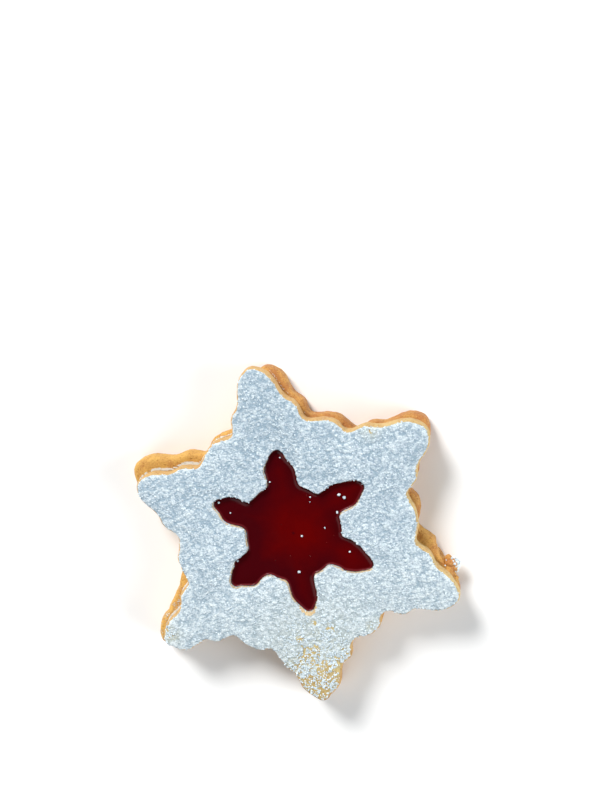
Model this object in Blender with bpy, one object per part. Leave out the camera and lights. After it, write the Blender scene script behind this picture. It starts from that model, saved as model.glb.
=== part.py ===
"""Snowflake linzer biscuit: two shortbread biscuits with red jam between them.

The upper biscuit has a smaller snowflake window, and the jam rises into it.
Each piece is a loft: one closed ring of points for each height where a wall, a
rounded edge or a face turns. Sizes are in millimetres and angles in degrees,
clockwise from +Y, until a mesh is made in metres.
"""

from collections import namedtuple

import bmesh
import bpy
import numpy as np

MM = 0.001

# Driving dimensions.
LOWER_THICK = 5.4
UPPER_THICK = 5.5
JAM_THICK = 0.6
GAP = 0.3
JAM_BELOW_TOP = 1.8
JAM_SET_BACK = 1.2
JAM_SET_ASIDE = 3.0
JAM_EDGE_ROUND = 0.3
JAM_DISH = 0.4
JAM_DISH_WIDTH = 1.2
JAM_DISH_STEPS = (0.0, 0.4, 1.0)
TOP_EDGE_ROUND = 1.0
BASE_EDGE_ROUND = 0.6
WINDOW_EDGE_ROUND = 0.8
WALL_BULGE = 0.3
CROWN = 0.3
CROWN_WAVE = 0.12
LOWER_SPREAD = 1.024

# Heights from the surface that the biscuit lies on.
UPPER_BASE = LOWER_THICK + GAP
UPPER_TOP = UPPER_BASE + UPPER_THICK
JAM_BASE = LOWER_THICK + GAP
JAM_ROOF = JAM_BASE + JAM_THICK + GAP
JAM_LEVEL = UPPER_TOP - JAM_BELOW_TOP

ARM_COUNT = 6
ARM_PITCH = 360 / ARM_COUNT
RING_POINTS = 27 * ARM_COUNT
FINE_STEPS = 60
DENSE = 4
DRAW_STEP = 0.002

# How much closer the points of a ring stand where it bends, per radian a millimetre.
BEND_SPACING = 2.5
MOST_BEND = 1.5
STEP_FLOOR = 0.01
SHARP_ANGLE = 40
EDGE_DEGREES = (0, 45, 90)

# Half an arm of each snowflake cutter, as (degrees off the arm's middle line,
# radius): the blunt tip, the side lobe, the notch, and the low hump half-way to
# the next arm.
BISCUIT_CUTTER = (
    (0.0, 39.5),
    (2.0, 39.0),
    (4.0, 38.2),
    (6.0, 36.8),
    (7.4, 35.0),
    (8.4, 33.5),
    (10.0, 32.3),
    (12.0, 31.6),
    (14.0, 31.0),
    (15.2, 30.1),
    (16.4, 28.5),
    (18.0, 27.6),
    (21.0, 27.5),
    (25.5, 28.2),
    (30.0, 28.6),
)
WINDOW_CUTTER = (
    (0.0, 19.4),
    (2.0, 19.3),
    (3.5, 18.9),
    (5.0, 18.2),
    (7.0, 17.3),
    (9.5, 16.4),
    (12.0, 15.4),
    (13.2, 14.4),
    (14.0, 13.2),
    (15.2, 12.2),
    (17.0, 11.5),
    (20.0, 11.1),
    (25.0, 11.1),
    (30.0, 11.1),
)

# How the dough moved in each arm: turned aside and widened at its foot, then
# drawn out, widened and bent further aside at its tip. The valley after the
# arm was drawn out too.
Arm = namedtuple("Arm", "turn foot length width lean valley", defaults=(1.0,))
UPPER_ARMS = (
    Arm(-1.8, 0.99, 1.025, 0.99, -1.2),
    Arm(-1.4, 1.13, 1.00, 1.08, 2.1),
    Arm(2.4, 1.03, 1.015, 1.00, -0.3),
    Arm(2.7, 1.10, 0.998, 0.97, -0.6),
    Arm(0.1, 0.94, 1.028, 0.95, 0.7),
    Arm(-0.8, 0.98, 0.98, 0.90, 0.3),
)
LOWER_ARMS = (
    Arm(-0.2, 1.00, 0.98, 1.00, 1.6),
    Arm(-0.3, 1.00, 1.00, 1.00, -0.6),
    Arm(-1.4, 1.12, 0.99, 0.96, 3.2),
    Arm(2.5, 1.00, 1.00, 1.00, 0.4),
    Arm(3.5, 1.00, 1.04, 1.01, -1.6),
    Arm(1.8, 1.12, 1.02, 1.02, 1.4),
)
WINDOW_ARMS = (
    Arm(-0.9, 1.08, 1.005, 1.06, -0.3, valley=0.965),
    Arm(2.2, 1.02, 1.03, 1.03, 2.8, valley=1.04),
    Arm(2.2, 1.10, 1.045, 1.05, 1.0, valley=1.01),
    Arm(0.6, 0.92, 1.012, 1.00, -2.8, valley=1.045),
    Arm(-2.3, 1.13, 0.995, 1.10, 0.0, valley=0.98),
    Arm(-1.8, 0.94, 1.005, 1.02, 1.2, valley=1.05),
)
BISCUIT_WAIST = 28.0
WINDOW_WAIST = 11.0
VALLEY_FADE = 10.0

# The window was pressed off the middle and a little turned, and the lower
# biscuit lies slightly off the upper one.
WINDOW_OFFSET = (-0.5, 1.4)
WINDOW_TURN = 1.6
LOWER_OFFSET = (-0.1, -0.15)

SHORTBREAD = (0.72, 0.42, 0.16, 1.0)
DUSTED_SHORTBREAD = (0.82, 0.80, 0.76, 1.0)
RED_JAM = (0.16, 0.004, 0.004, 1.0)
SHORTBREAD_ROUGHNESS = 0.75
DUSTED_ROUGHNESS = 0.9
JAM_ROUGHNESS = 0.08


def clear_scene():
    for item in list(bpy.data.objects):
        bpy.data.objects.remove(item, do_unlink=True)


def finish(name, colour, roughness):
    material = bpy.data.materials.new(name)
    material.use_nodes = True
    shader = material.node_tree.nodes["Principled BSDF"]
    shader.inputs["Base Color"].default_value = colour
    shader.inputs["Roughness"].default_value = roughness
    shader.inputs["Metallic"].default_value = 0.0
    return material


def half_arm_radius(cutter, angle):
    """Radius of a cutter at an angle off its arm, on a smooth curve through its points."""
    mirrored_tip = (-cutter[1][0], cutter[1][1])
    mirrored_hump = (2 * cutter[-1][0] - cutter[-2][0], cutter[-2][1])
    angles, radii = np.array([mirrored_tip, *cutter, mirrored_hump]).T
    slopes = np.gradient(radii, angles)
    piece = np.clip(np.searchsorted(angles, angle, side="right") - 1, 1, len(cutter) - 1)
    span = angles[piece + 1] - angles[piece]
    t = (angle - angles[piece]) / span
    start = (1 + 2 * t) * (1 - t) ** 2 * radii[piece]
    end = t**2 * (3 - 2 * t) * radii[piece + 1]
    leave = t * (1 - t) ** 2 * span * slopes[piece]
    arrive = t**2 * (t - 1) * span * slopes[piece + 1]
    return start + end + leave + arrive


def even_ring(points, count=RING_POINTS):
    """The same closed outline with its points at equal steps along it."""
    closed = np.vstack([points, points[:1]])
    steps = np.linalg.norm(np.diff(closed, axis=0), axis=1)
    along = np.concatenate([[0.0], np.cumsum(steps)])
    wanted = np.linspace(0.0, along[-1], count, endpoint=False)
    return np.column_stack([np.interp(wanted, along, closed[:, axis]) for axis in (0, 1)])


def spaced_ring(points, count=RING_POINTS):
    """The same closed outline with its points closer together where it bends."""
    closed = np.vstack([points, points[:1]])
    steps = np.linalg.norm(np.diff(closed, axis=0), axis=1)
    before = points - np.roll(points, 1, axis=0)
    after = np.roll(points, -1, axis=0) - points
    heading = np.arctan2(after[:, 0], after[:, 1]) - np.arctan2(before[:, 0], before[:, 1])
    bend = np.abs((heading + np.pi) % (2 * np.pi) - np.pi)
    bend = np.minimum(bend / np.maximum(steps, STEP_FLOOR), MOST_BEND)
    weight = steps * (1 + BEND_SPACING * (bend + np.roll(bend, -1)) / 2)
    along = np.concatenate([[0.0], np.cumsum(weight)])
    wanted = np.linspace(0.0, along[-1], count, endpoint=False)
    return np.column_stack([np.interp(wanted, along, closed[:, axis]) for axis in (0, 1)])


def snowflake(cutter, arms, waist, turn=0.0, spread=1.0, offset=(0.0, 0.0)):
    """The outline of a cut and baked snowflake, clockwise from the tip of its first arm."""
    reach = cutter[0][1] - waist
    outline = []
    for number, arm in enumerate(arms):
        before = arms[number - 1]
        off_arm = np.linspace(-ARM_PITCH / 2, ARM_PITCH / 2, FINE_STEPS, endpoint=False)
        radius = half_arm_radius(cutter, np.abs(off_arm))
        towards_tip = np.clip((radius - waist) / reach, 0.0, 1.0)
        in_arm = np.clip((ARM_PITCH / 2 - np.abs(off_arm)) / VALLEY_FADE, 0.0, 1.0)
        width = arm.foot + (arm.width - arm.foot) * towards_tip
        widened = off_arm * (1 + (width - 1) * in_arm)
        aside = (arm.turn + arm.lean * towards_tip) * in_arm
        angle = np.radians(turn + number * ARM_PITCH + widened + aside)
        valley = np.where(off_arm < 0, before.valley, arm.valley)
        drawn_out = 1 + (arm.length - 1) * towards_tip + (valley - 1) * (1 - towards_tip)
        radius = radius * spread * drawn_out
        outline.append(np.column_stack([radius * np.sin(angle), radius * np.cos(angle)]))
    first_tip = FINE_STEPS // 2
    return spaced_ring(np.roll(np.vstack(outline), -first_tip, axis=0) + offset)


def grown(outline, distance):
    """The outline moved out by a distance, or in where it is negative."""
    along = np.roll(outline, -1, axis=0) - np.roll(outline, 1, axis=0)
    outwards = np.column_stack([-along[:, 1], along[:, 0]])
    return outline + distance * outwards / np.linalg.norm(along, axis=1)[:, None]


def drawn_in(outline, distance):
    """The outline with each point drawn towards the middle until it is that far from the outline."""
    middle = outline.mean(axis=0)
    edge = even_ring(outline, DENSE * RING_POINTS)
    drawn = outline.copy()
    waiting = np.ones(len(outline), bool)
    for share in np.arange(1.0, 0.0, -DRAW_STEP):
        trial = middle + (outline - middle) * share
        gap = np.linalg.norm(trial[:, None] - edge, axis=2).min(axis=1)
        arrived = waiting & (gap >= distance)
        drawn[arrived] = trial[arrived]
        waiting &= ~arrived
    return drawn


def jam_spread(lower, upper):
    """Where the pressed jam ends: short of the nearer edge of the two biscuits."""
    bearings = np.linspace(0, 360, RING_POINTS, endpoint=False)
    reaches = []
    for outline in (lower, upper):
        bearing = np.degrees(np.arctan2(outline[:, 0], outline[:, 1]))
        reach = np.linalg.norm(outline, axis=1)
        for aside in (-JAM_SET_ASIDE, 0, JAM_SET_ASIDE):
            reaches.append(np.interp(bearings + aside, bearing, reach, period=360))
    nearer = np.min(reaches, axis=0) - JAM_SET_BACK
    angle = np.radians(bearings)
    return even_ring(np.column_stack([nearer * np.sin(angle), nearer * np.cos(angle)]))


def ring(outline, height):
    """A ring of 3-D points, with one height or a height for each point."""
    heights = np.broadcast_to(height, len(outline))
    return np.column_stack([outline, heights])


def rounded_edge(outline, face_height, radius, wall_is_below):
    """Three rings round an edge, in order from the wall to the flat face."""
    side = 1 if wall_is_below else -1
    rings = []
    for degrees in EDGE_DEGREES:
        set_in = radius * (1 - np.cos(np.radians(degrees)))
        short = radius * (1 - np.sin(np.radians(degrees)))
        rings.append(ring(grown(outline, -set_in), face_height - side * short))
    return rings


def wall_rings(outline, base, top, top_round):
    """Rings from the base face, round its edge, up the bulging wall and on to the top face."""
    base_edge = rounded_edge(outline, base, BASE_EDGE_ROUND, wall_is_below=False)
    middle = ring(grown(outline, WALL_BULGE), (base + top) / 2)
    top_edge = rounded_edge(outline, top, top_round, wall_is_below=True)
    return [*reversed(base_edge), middle, *top_edge]


def lower_rings(lower):
    return wall_rings(lower, 0.0, LOWER_THICK, TOP_EDGE_ROUND)


def upper_rings(upper, window, spread):
    """Up the outer wall, over the crowned top, down into the window and back along the base.

    The base is hollowed over the jam, so that the two rims nearly meet.
    """
    outer = wall_rings(upper, UPPER_BASE, UPPER_TOP - CROWN, TOP_EDGE_ROUND)
    hole = window[::-1]
    inner = wall_rings(hole, JAM_ROOF, UPPER_TOP - CROWN, WINDOW_EDGE_ROUND)
    inner = [points[::-1] for points in inner]
    crown = (outer[-1] + inner[-1]) / 2
    bearing = np.arctan2(crown[:, 0], crown[:, 1])
    crown[:, 2] = UPPER_TOP - CROWN_WAVE * (1 - np.sin(2 * bearing)) / 2
    hollow = ring(grown(spread, GAP), JAM_ROOF)
    return [*outer, crown, *reversed(inner), hollow]


def jam_rings(spread, window):
    """The pressed sheet, and the pool that stands up in the window with its edge drawn up."""
    sheet_top = JAM_BASE + JAM_THICK
    sheet = [
        ring(grown(spread, -JAM_EDGE_ROUND), JAM_BASE),
        ring(spread, JAM_BASE + JAM_THICK / 2),
        ring(grown(spread, -JAM_EDGE_ROUND), sheet_top),
    ]
    pool = drawn_in(window, GAP + WALL_BULGE)
    flat = drawn_in(window, GAP + WALL_BULGE + JAM_DISH_WIDTH)
    dish = [
        ring(pool + (flat - pool) * part, JAM_LEVEL + JAM_DISH * (1 - part) ** 2)
        for part in JAM_DISH_STEPS
    ]
    return [*sheet, ring(pool, sheet_top), *dish]


def loft(rings, joins_up):
    """Faces between neighbouring rings, and over both ends unless the last ring joins the first."""
    bm = bmesh.new()
    loops = [[bm.verts.new(point) for point in points * MM] for points in rings]
    pairs = list(zip(loops, loops[1:]))
    if joins_up:
        pairs.append((loops[-1], loops[0]))
    for below, above in pairs:
        for index in range(RING_POINTS):
            after = (index + 1) % RING_POINTS
            bm.faces.new((below[index], below[after], above[after], above[index]))
    if not joins_up:
        bm.faces.new(loops[0])
        bm.faces.new(loops[-1])
    bmesh.ops.recalc_face_normals(bm, faces=bm.faces)
    return bm


def add_piece(collection, name, rings, material, joins_up=False):
    bm = loft(rings, joins_up)
    mesh = bpy.data.meshes.new(name)
    bm.to_mesh(mesh)
    bm.free()
    mesh.shade_smooth()
    mesh.set_sharp_from_angle(angle=np.radians(SHARP_ANGLE))
    mesh.materials.append(material)
    collection.objects.link(bpy.data.objects.new(name, mesh))


def main():
    clear_scene()
    collection = bpy.data.collections.new("linzer_biscuit")
    bpy.context.scene.collection.children.link(collection)

    upper = snowflake(BISCUIT_CUTTER, UPPER_ARMS, BISCUIT_WAIST)
    lower = snowflake(
        BISCUIT_CUTTER, LOWER_ARMS, BISCUIT_WAIST, spread=LOWER_SPREAD, offset=LOWER_OFFSET
    )
    window = snowflake(
        WINDOW_CUTTER, WINDOW_ARMS, WINDOW_WAIST, turn=WINDOW_TURN, offset=WINDOW_OFFSET
    )
    walls = np.vstack([grown(upper, WALL_BULGE), grown(lower, WALL_BULGE)])
    middle = (walls.min(axis=0) + walls.max(axis=0)) / 2
    upper, lower, window = upper - middle, lower - middle, window - middle

    spread = jam_spread(lower, upper)

    shortbread = finish("shortbread", SHORTBREAD, SHORTBREAD_ROUGHNESS)
    dusted = finish("dusted_shortbread", DUSTED_SHORTBREAD, DUSTED_ROUGHNESS)
    red_jam = finish("red_jam", RED_JAM, JAM_ROUGHNESS)
    add_piece(collection, "bottom_biscuit", lower_rings(lower), shortbread)
    add_piece(collection, "jam", jam_rings(spread, window), red_jam)
    add_piece(collection, "top_biscuit", upper_rings(upper, window, spread), dusted, joins_up=True)


main()
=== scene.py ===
import math

import bpy
import numpy as np
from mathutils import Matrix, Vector
from mathutils.bvhtree import BVHTree


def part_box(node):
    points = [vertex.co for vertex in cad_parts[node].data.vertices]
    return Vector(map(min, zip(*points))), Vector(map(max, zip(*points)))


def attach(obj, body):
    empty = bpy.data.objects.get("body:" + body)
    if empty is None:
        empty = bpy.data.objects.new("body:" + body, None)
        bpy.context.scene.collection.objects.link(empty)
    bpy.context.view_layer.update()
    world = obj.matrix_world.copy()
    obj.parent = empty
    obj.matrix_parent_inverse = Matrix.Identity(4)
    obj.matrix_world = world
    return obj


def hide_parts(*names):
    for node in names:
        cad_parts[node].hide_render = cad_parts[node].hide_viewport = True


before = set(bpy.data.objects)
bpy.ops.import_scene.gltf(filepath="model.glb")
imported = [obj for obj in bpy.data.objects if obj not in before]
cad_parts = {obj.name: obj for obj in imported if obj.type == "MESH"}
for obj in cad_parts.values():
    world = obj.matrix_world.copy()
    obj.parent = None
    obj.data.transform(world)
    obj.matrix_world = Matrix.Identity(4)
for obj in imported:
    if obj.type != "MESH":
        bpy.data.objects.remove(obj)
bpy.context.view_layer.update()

# Lengths are in millimetres until a mesh is made, and bearings are degrees
# clockwise from +Y, seen from above.
MM = 0.001


# ---- Measuring the frame ----------------------------------------------------

# Well outside the object: where a ray starts, and the distance that means "nowhere near".
FAR_OUT = 100.0
# How many bearings an outline is read at, and its points before and after they are thinned out.
READ_BEARINGS = 2160
FINE_AROUND = 6000
AROUND = 1008
# The width over which the facets of the solids are smoothed away.
FACET_BLUR = 0.35
# A snowflake's arms, how far to either side of its bearing a tip or a valley is looked for, and
# how much further out than a valley's deepest point still counts as its floor.
ARMS = 6
TIP_SEARCH = 12
VALLEY_SEARCH = 14
VALLEY_FLOOR = 0.8


class Solid:
    """A CAD piece, for reading where its walls and faces are."""

    def __init__(self, node):
        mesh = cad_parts[node].data
        points = [tuple(vertex.co / MM) for vertex in mesh.vertices]
        self.tree = BVHTree.FromPolygons(points, [tuple(face.vertices) for face in mesh.polygons])
        low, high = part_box(node)
        self.base, self.top = low[2] / MM, high[2] / MM
        self.waist = (self.base + self.top) / 2

    def wall(self, middle, height, bearings, from_outside):
        """How far from the middle the wall stands at each bearing."""
        reach = []
        for bearing in np.radians(bearings):
            out = Vector((math.sin(bearing), math.cos(bearing), 0.0))
            start = Vector((*middle, height))
            if from_outside:
                start, out = start + out * FAR_OUT, -out
            place = self.tree.ray_cast(start, out)[0]
            reach.append((place.xy - Vector(middle)).length)
        return np.array(reach)


def even(points, count):
    """A closed outline with its points at equal steps along it."""
    closed = np.vstack([points, points[:1]])
    steps = np.linalg.norm(np.diff(closed, axis=0), axis=1)
    along = np.concatenate([[0.0], np.cumsum(steps)])
    wanted = np.linspace(0.0, along[-1], count, endpoint=False)
    return np.column_stack([np.interp(wanted, along, closed[:, axis]) for axis in (0, 1)])


def armed(ring):
    """A snowflake outline with equally many points from each arm's tip to the valley beside it."""
    centre = ring.mean(axis=0)
    fine = even(ring, FINE_AROUND)
    bearing = np.degrees(np.arctan2(*(fine - centre).T)) % 360
    reach = np.linalg.norm(fine - centre, axis=1)
    tips, valleys = [], []
    for arm in range(ARMS):
        off = (bearing - 360 / ARMS * arm + 180) % 360 - 180
        near = np.nonzero(np.abs(off) < TIP_SEARCH)[0]
        tips.append(near[reach[near].argmax()])
        near = np.nonzero(np.abs(off - 180 / ARMS) < VALLEY_SEARCH)[0]
        floor = near[reach[near] < reach[near].min() + VALLEY_FLOOR]
        valleys.append(int(round(np.median(floor))))
    keys = [key for pair in zip(tips, valleys) for key in pair]
    start = keys[0]
    keys = [start, *(start + (np.array(keys[1:]) - start) % FINE_AROUND), start + FINE_AROUND]
    each = AROUND // (2 * ARMS)
    spans = [np.linspace(a, b, each, endpoint=False) for a, b in zip(keys, keys[1:])]
    places = np.concatenate(spans)
    loop = np.vstack([fine, fine])
    order = np.arange(len(loop))
    return np.column_stack([np.interp(places, order, loop[:, axis]) for axis in (0, 1)])


def smoothed(values, width):
    """Values round a ring, blurred over a width in points."""
    reach = int(3 * width)
    offsets = np.arange(-reach, reach + 1)
    weights = np.exp(-0.5 * (offsets / width) ** 2)
    weights /= weights.sum()
    return sum(w * np.roll(values, -o, axis=0) for w, o in zip(weights, offsets))


def outline(solid, middle, height, from_outside=True):
    """A solid's outline at a height, or its window's where it is read from inside."""
    bearings = np.linspace(0.0, 360.0, READ_BEARINGS, endpoint=False)
    reach = solid.wall(middle, height, bearings, from_outside)
    angle = np.radians(bearings)
    ring = np.column_stack([reach * np.sin(angle), reach * np.cos(angle)]) + middle
    ring = even(ring, AROUND)
    step = np.linalg.norm(ring[1] - ring[0])
    return armed(smoothed(ring, FACET_BLUR / step))


def outwards(ring):
    """The way out of an outline at each of its points."""
    along = np.roll(ring, -1, axis=0) - np.roll(ring, 1, axis=0)
    sideways = np.column_stack([-along[:, 1], along[:, 0]])
    return sideways / np.linalg.norm(along, axis=1)[:, None]


def grown(ring, distance):
    """An outline moved out by a distance, or in by a negative one, eased so that it doesn't fold."""
    moved = ring + outwards(ring) * distance
    step = np.linalg.norm(np.diff(ring, axis=0), axis=1).mean()
    ease = 0.7 * abs(distance) / step
    return smoothed(moved, ease) if ease > 0.5 else moved


# ---- Uneven surfaces --------------------------------------------------------

def shuffled(cells, seed):
    """A number from 0 to 1 for each whole-numbered cell, its bits mixed by large odd numbers."""
    x, y, z = (cells[..., axis].astype(np.int64) for axis in range(3))
    mixed = (x * 73856093) ^ (y * 19349663) ^ (z * 83492791) ^ (seed * 2654435761)
    mixed = (mixed ^ (mixed >> 13)) * 1274126177 & 0xFFFFFFFF
    mixed = ((mixed ^ (mixed >> 15)) * 2246822519) & 0xFFFFFFFF
    return ((mixed ^ (mixed >> 16)) & 0xFFFFFF) / float(0x1000000)


def swell(points, size, seed):
    """Smooth unevenness from -1 to 1, with humps about a size across."""
    places = points / size
    cell = np.floor(places)
    part = places - cell
    part = part * part * (3 - 2 * part)
    total = 0.0
    for corner in np.ndindex(2, 2, 2):
        share = np.prod(np.where(corner, part, 1 - part), axis=-1)
        total = total + share * shuffled(cell + corner, seed)
    return total * 2 - 1


def clumps(points, size, seed):
    """Domes packed a size apart: height from 0 to 1, and a random shade for each."""
    places = points / size
    cell = np.floor(places)
    best = np.zeros(len(points))
    shade = np.zeros(len(points))
    for offset in np.ndindex(3, 3, 3):
        other = cell + np.array(offset) - 1
        jitter = np.column_stack([shuffled(other, seed + axis) for axis in range(3)])
        big = 0.55 + 0.45 * shuffled(other, seed + 5)
        gap = np.linalg.norm(places - other - jitter, axis=1)
        dome = np.sqrt(np.clip(1 - (gap / (0.72 * big)) ** 2, 0, 1)) * big
        nearer = dome > best
        best = np.where(nearer, dome, best)
        shade = np.where(nearer, shuffled(other, seed + 7), shade)
    return best, shade


def ragged(ring, depth, seed):
    """An outline with the small unevenness of a cut through soft dough."""
    points = at_height(ring, 0.0)
    uneven = swell(points, 3.4, seed) + 0.8 * swell(points, 1.7, seed + 1)
    return ring + outwards(ring) * (depth * uneven)[:, None]


def pressed(ring, places):
    """An outline pushed in or out by fingers, at each (x, y, half width, how far out)."""
    shift = np.zeros(len(ring))
    for x, y, half, out in places:
        gap = np.hypot(ring[:, 0] - x, ring[:, 1] - y) / half
        shift += out * np.exp(-(gap**2))
    return ring + outwards(ring) * shift[:, None]


def at_height(ring, height):
    """An outline as a level ring of points."""
    return np.column_stack([ring, np.full(len(ring), height)])


# ---- Making meshes ----------------------------------------------------------

def shaped(name, points, faces, layers):
    """A smooth piece from points and faces, with named layers of point values."""
    mesh = bpy.data.meshes.new(name)
    mesh.from_pydata((points * MM).tolist(), [], faces)
    for layer, values in layers.items():
        stored = mesh.attributes.new(layer, "FLOAT", "POINT")
        stored.data.foreach_set("value", np.asarray(values, np.float32))
    mesh.shade_smooth()
    piece = bpy.data.objects.new(name, mesh)
    bpy.context.scene.collection.objects.link(piece)
    return piece


def loft(name, rings, layers, joins_up=False, capped=False):
    """A smooth piece through rings of equally many points, which joins up or has both ends capped."""
    rings = np.asarray(rings)
    count, around = rings.shape[:2]
    points = rings.reshape(-1, 3)
    index = np.arange(count * around).reshape(count, around)
    if joins_up:
        index = np.vstack([index, index[:1]])
    after = np.roll(index, -1, axis=1)
    faces = np.stack([index[:-1], index[1:], after[1:], after[:-1]], axis=-1).reshape(-1, 4)
    faces = faces.tolist()
    if capped:
        for ring in (index[0], index[-1][::-1]):
            hub = len(points)
            points = np.vstack([points, points[ring].mean(axis=0)])
            faces += [[a, b, hub] for a, b in zip(ring.tolist(), np.roll(ring, -1).tolist())]
    on_hubs = np.zeros(len(points) - count * around)
    layers = {layer: np.concatenate([np.ravel(values), on_hubs]) for layer, values in layers.items()}
    return shaped(name, points, faces, layers)


# How many points are measured at once, to save memory.
BATCH = 4000


def flat_distance(points, ring):
    """Distance in plan from each point to the nearest point of a ring."""
    nearest = []
    for some in np.array_split(points[:, :2], len(points) // BATCH + 1):
        part = some[:, None] - ring[None]
        nearest.append(np.sqrt((part**2).sum(axis=2)).min(axis=1))
    return np.concatenate(nearest)


# ---- The biscuits -----------------------------------------------------------

upper = Solid("top_biscuit")
lower = Solid("bottom_biscuit")
filling = Solid("jam")
MIDDLE = np.array([0.0, 0.0])
WINDOW_MIDDLE = np.array([0.7, 1.45])
# How thick the jam is between the biscuits, and how far its pool reaches into the window's wall.
JAM_SHEET = 0.6
JAM_SOAKS_IN = 0.05
# How far the window's crust stands in from the solid's wall, and how uneven it is.
WINDOW_CRUST = 0.12
WINDOW_RAGGED = 0.20

# Dents and bulges of the edges, as (x, y, half width, how far out).
UPPER_DENTS = (
    (-29.9, -10.8, 2.8, -0.7),
    (-33.2, -20.8, 1.5, -0.5),
    (-28.6, -22.3, 0.9, 0.4),
    (-24.8, -20.4, 1.6, -0.55),
    (-20.1, -20.6, 1.2, -0.35),
    (-16.9, -22.6, 2.0, 0.7),
    (-8.5, -28.7, 1.8, -0.35),
    (-5.1, -35.8, 1.5, 0.3),
    (-1.0, -39.7, 1.5, 0.35),
    (1.8, -38.3, 1.5, -0.45),
    (6.0, -31.7, 1.8, -0.4),
    (8.9, -27.7, 1.2, -0.3),
    (13.4, -25.9, 1.2, 0.35),
    (17.5, -22.2, 2.2, -0.8),
    (24.5, -22.0, 1.5, -0.5),
    (35.9, -16.8, 1.8, -0.3),
    (30.3, -0.5, 2.0, -0.3),
    (-26.6, 2.4, 2.5, -0.8),
    (-27.2, -1.6, 2.0, -0.45),
)
LOWER_DENTS = (
    (-30.3, -7.2, 2.0, -0.9),
    (-27.6, -4.6, 1.5, 0.5),
    (-33.7, -13.0, 1.2, -0.5),
    (-36.8, -18.5, 2.2, 0.2),
    (30.6, 3.0, 1.8, 0.5),
    (30.2, -0.8, 1.5, -0.35),
    (29.3, -3.2, 1.2, -0.3),
    (32.3, -7.7, 1.1, 0.4),
    (35.6, -17.8, 2.2, -0.45),
    (17.6, -23.2, 2.8, -1.1),
    (7.9, -29.6, 1.5, -0.4),
    (4.9, -34.0, 2.2, -0.6),
    (-27.8, 1.2, 2.8, -0.6),
    (35.8, -16.4, 0.7, -0.5),
)

upper_belly = pressed(outline(upper, MIDDLE, upper.waist), UPPER_DENTS)
lower_belly = pressed(outline(lower, MIDDLE, lower.waist), LOWER_DENTS)
window_belly = outline(upper, WINDOW_MIDDLE, upper.waist, from_outside=False)
window_belly = ragged(grown(window_belly, -WINDOW_CRUST), WINDOW_RAGGED, 21)
filling_edge = outline(filling, MIDDLE, filling.base + JAM_SHEET / 2)
jam_wall = grown(window_belly, JAM_SOAKS_IN)

# How far the walls swell out at the belly, and how round their edges are.
BELLY = 0.3
TOP_ROUND = 1.0
WINDOW_ROUND = 0.42
WINDOW_BASE_ROUND = 0.4
BASE_ROUND = 0.6
# The height of one step up a wall, and how many such steps a quarter turn of that radius takes.
WALL_STEP = 0.24
QUARTER = 1.6
# The dusting's thickness, and how far the upper biscuit's face falls away to its rims.
SUGAR_THICK = 0.35
RIM_DROP = 0.3


def edge_profile(base, top, base_round, top_round):
    """(set in, height) pairs up a wall: round the base edge, over the belly, round the top edge."""
    turn = np.linspace(0, math.pi / 2, max(3, int(base_round * QUARTER / WALL_STEP)))
    low = [(base_round * (1 - math.sin(a)), base + base_round * (1 - math.cos(a))) for a in turn]
    turn = np.linspace(0, math.pi / 2, max(4, int(top_round * QUARTER / WALL_STEP)))
    high = [(top_round * (1 - math.cos(a)), top - top_round * (1 - math.sin(a))) for a in turn]
    straight = np.arange(base + base_round + WALL_STEP, top - top_round - WALL_STEP / 2, WALL_STEP)
    side = [(0.0, height) for height in straight]
    profile = np.array([*low, *side, *high])
    share = (profile[:, 1] - base) / (top - base)
    profile[:, 0] += BELLY * (2 * share - 1) ** 2
    return profile


def wall(belly, profile):
    """Rings up a wall, from the outline of its belly and its profile."""
    return [at_height(grown(belly, -inset), height) for inset, height in profile]


def across(first, last, count, ease=1.0):
    """Rings between two rings, without the two themselves."""
    shares = (np.arange(1, count + 1) / (count + 1)) ** ease
    return [first + (last - first) * share for share in shares]


def facing(rings, reach=1):
    """The way out of a surface at each point of its rings."""
    along = np.roll(rings, -reach, axis=1) - np.roll(rings, reach, axis=1)
    normal = np.cross(np.gradient(rings, axis=0), along)
    return normal / np.maximum(np.linalg.norm(normal, axis=2, keepdims=True), 1e-6)


def crumbly(rings, rough):
    """Rings with the grain of baked dough: each point moved along the surface's normal.

    The roughness is one value, or one for each point round a ring.
    """
    rings = np.asarray(rings)
    points = rings.reshape(-1, 3)
    height = 1.2 * swell(points, 2.6, 11) + 0.9 * swell(points, 0.9, 12)
    height = height + 0.8 * swell(points, 0.42, 13)
    pits = clumps(points, 0.85, 14)[0]
    height = height - 4.2 * np.clip(pits - 0.72, 0, 1)
    height = height.reshape(rings.shape[:2]) * rough
    return rings + facing(rings) * height[..., None]


# How far the grain of the dough stands out.
CRUMB_GRAIN = 0.07
# How many rings at the top of the lower biscuit's wall can hold sugar.
LEDGE_RINGS = 8
# Where the cutter tore the lower biscuit's edge, as (bearing, half the tear's width, how rough).
TORN = (
    (107.0, 4.5, 0.15),
    (117.0, 4.0, 0.12),
)


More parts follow.
